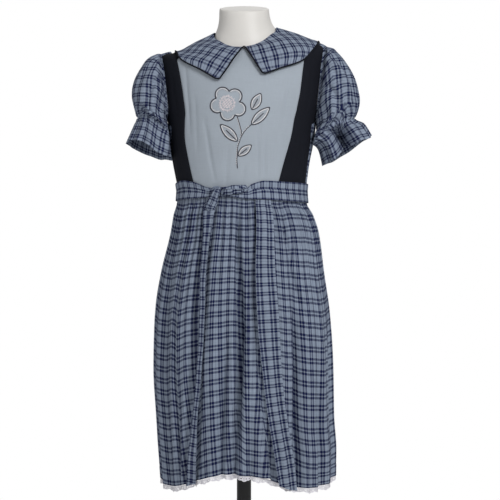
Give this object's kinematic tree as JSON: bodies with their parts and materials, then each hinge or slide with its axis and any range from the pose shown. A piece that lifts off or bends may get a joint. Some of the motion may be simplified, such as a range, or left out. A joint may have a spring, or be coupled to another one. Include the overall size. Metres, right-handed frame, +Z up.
{
  "type": "child's dirndl dress on a limbless dress form",
  "caption": "Short-sleeved checked child's dirndl with flat collar, plain embroidered front, gathered skirt and knotted sash, worn by a limbless dress form on a pole stand.",
  "frame": {"origin": "centre of the stand base's underside, on the floor under the pole", "axes": "+Z up along the pole, the dress faces -Y, +X is at the viewer's right"},
  "size_m": [0.4309, 0.28, 1.016],
  "materials": {
    "check_cotton": "matt woven cotton, light grey-blue with a navy check",
    "plain_cotton": "matt plain woven grey-blue cotton",
    "navy_cotton": "matt plain woven navy cotton",
    "lace_white": "matt white cotton lace",
    "form_white": "smooth off-white, slight sheen",
    "stand_black": "satin black powder coat"
  },
  "bodies": {
    "root": {"bodice_front": "plain_cotton", "bodice_side_left": "navy_cotton", "bodice_side_right": "navy_cotton", "bodice_back_left": "check_cotton", "bodice_back_right": "check_cotton", "collar_left": "check_cotton", "collar_right": "check_cotton", "sleeve_left": "check_cotton", "sleeve_right": "check_cotton", "skirt_front": "check_cotton", "skirt_back": "check_cotton", "hem_lace": "lace_white", "sash_band": "check_cotton", "sash_knot": "check_cotton", "sash_twist": "check_cotton", "sash_tail_left": "check_cotton", "sash_tail_right": "check_cotton", "form_torso": "form_white", "stand_pole": "stand_black", "stand_base": "stand_black"}
  },
  "joints": []
}
